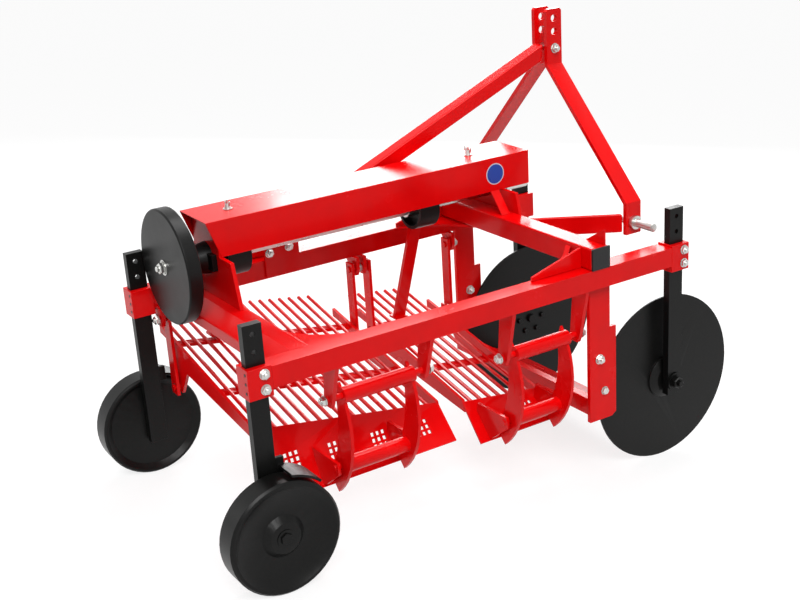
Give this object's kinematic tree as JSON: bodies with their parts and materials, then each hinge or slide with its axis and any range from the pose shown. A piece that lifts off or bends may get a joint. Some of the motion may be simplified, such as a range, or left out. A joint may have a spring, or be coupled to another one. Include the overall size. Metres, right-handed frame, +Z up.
{
  "type": "three-point hitch potato digger with a side-shaking sieve",
  "caption": "Potato digger for a three-point hitch: frame with a share, disc coulters, shaken bar sieves, flywheel drive and rear gauge wheels.",
  "frame": {"origin": "on the ground under the middle of the bounding box", "axes": "+Y forwards to the tractor, +X to the machine right, +Z up; the machine frame itself is tipped nose-up so that rear wheels and discs stand on the ground"},
  "size_m": [0.97, 1.5414, 1.1497],
  "materials": {
    "red_paint": "glossy red paint",
    "black_paint": "satin black paint",
    "zinc": "bright zinc plating",
    "black_plastic": "matt black plastic",
    "sticker_blue": "plain blue sticker"
  },
  "bodies": {
    "frame": {"beam_left": "red_paint", "beam_right": "red_paint", "bearing_front": "black_paint", "bearing_plate_front": "red_paint", "bearing_plate_rear": "red_paint", "bearing_rear": "black_paint", "brace_bracket": "red_paint", "clamp_front_left": "red_paint", "clamp_front_right": "red_paint", "clamp_rear_left": "red_paint", "clamp_rear_right": "red_paint", "cover": "red_paint", "gusset_left": "red_paint", "gusset_right": "red_paint", "hitch_bar_left": "red_paint", "hitch_bar_right": "red_paint", "hitch_pin_left": "zinc", "hitch_pin_right": "zinc", "lower_arm_left": "red_paint", "lower_arm_right": "red_paint", "main_tube": "red_paint", "post_front_left": "black_paint", "post_front_right": "black_paint", "post_rear_left": "black_paint", "post_rear_right": "black_paint", "rear_cross_member": "red_paint", "scraper_left": "black_paint", "scraper_right": "black_paint", "share": "red_paint", "share_leg_left": "red_paint", "share_leg_right": "red_paint", "top_brace": "red_paint", "top_link_spacer": "zinc", "tube_cap_left": "black_plastic", "tube_cap_right": "black_plastic"},
    "wheel_right": {"wheel_right": "black_paint"},
    "wheel_left": {"wheel_left": "black_paint"},
    "disc_right": {"disc_right": "black_paint"},
    "disc_left": {"disc_left": "black_paint"},
    "drive": {"drive_shaft": "zinc", "flywheel": "black_paint"},
    "rear_rocker": {"rear_rocker": "red_paint"},
    "rear_sieve": {"rear_sieve": "red_paint", "rear_conrod": "red_paint"},
    "rear_hangers": {"rear_hanger_rear": "red_paint", "rear_hanger_front": "red_paint"},
    "front_rocker": {"front_rocker": "red_paint"},
    "front_sieve": {"front_sieve": "red_paint", "front_conrod": "red_paint"},
    "front_hangers": {"front_hanger_rear": "red_paint", "front_hanger_front": "red_paint"}
  },
  "joints": [
    {"name": "wheel_right_spin", "type": "hinge", "parent": "frame", "child": "wheel_right", "pos_m": [0.423, -0.63772, 0.133], "axis": [1, 0, 0], "continuous": true},
    {"name": "wheel_left_spin", "type": "hinge", "parent": "frame", "child": "wheel_left", "pos_m": [-0.239, -0.63772, 0.133], "axis": [1, 0, 0], "continuous": true},
    {"name": "disc_right_spin", "type": "hinge", "parent": "frame", "child": "disc_right", "pos_m": [0.391, 0.54571, 0.225], "axis": [1, 0, 0], "continuous": true},
    {"name": "disc_left_spin", "type": "hinge", "parent": "frame", "child": "disc_left", "pos_m": [-0.207, 0.54571, 0.225], "axis": [1, 0, 0], "continuous": true},
    {"name": "drive_spin", "type": "hinge", "parent": "frame", "child": "drive", "pos_m": [-0.064, -0.06398, 0.64902], "axis": [0, 0.997, 0.0775], "continuous": true},
    {"name": "rear_rocker_swing", "type": "hinge", "parent": "frame", "child": "rear_rocker", "pos_m": [0.382, -0.34801, 0.39324], "axis": [0, 0.997, 0.0775], "range_deg": [-3, 3]},
    {"name": "rear_sieve_level", "type": "hinge", "parent": "rear_rocker", "child": "rear_sieve", "pos_m": [0.349, -0.33329, 0.20381], "axis": [0, 0.997, 0.0775], "range_deg": [-3, 3]},
    {"name": "rear_hangers_swing", "type": "hinge", "parent": "frame", "child": "rear_hangers", "pos_m": [-0.193, -0.60682, 0.43229], "axis": [0, 0.997, 0.0775], "range_deg": [-3, 3]},
    {"name": "front_rocker_swing", "type": "hinge", "parent": "frame", "child": "front_rocker", "pos_m": [0.382, 0.11972, 0.3955], "axis": [0, 0.997, 0.0775], "range_deg": [-3, 3]},
    {"name": "front_sieve_level", "type": "hinge", "parent": "front_rocker", "child": "front_sieve", "pos_m": [0.349, 0.13445, 0.20607], "axis": [0, 0.997, 0.0775], "range_deg": [-3, 3]},
    {"name": "front_hangers_swing", "type": "hinge", "parent": "frame", "child": "front_hangers", "pos_m": [-0.193, -0.02458, 0.47756], "axis": [0, 0.997, 0.0775], "range_deg": [-3, 3]}
  ],
  "couplings": [
    {"joint": "rear_sieve_level", "follows": "rear_rocker_swing", "ratio": -1},
    {"joint": "rear_hangers_swing", "follows": "rear_rocker_swing", "ratio": 1},
    {"joint": "front_rocker_swing", "follows": "rear_rocker_swing", "ratio": -1},
    {"joint": "front_sieve_level", "follows": "rear_rocker_swing", "ratio": 1},
    {"joint": "front_hangers_swing", "follows": "rear_rocker_swing", "ratio": -1}
  ]
}
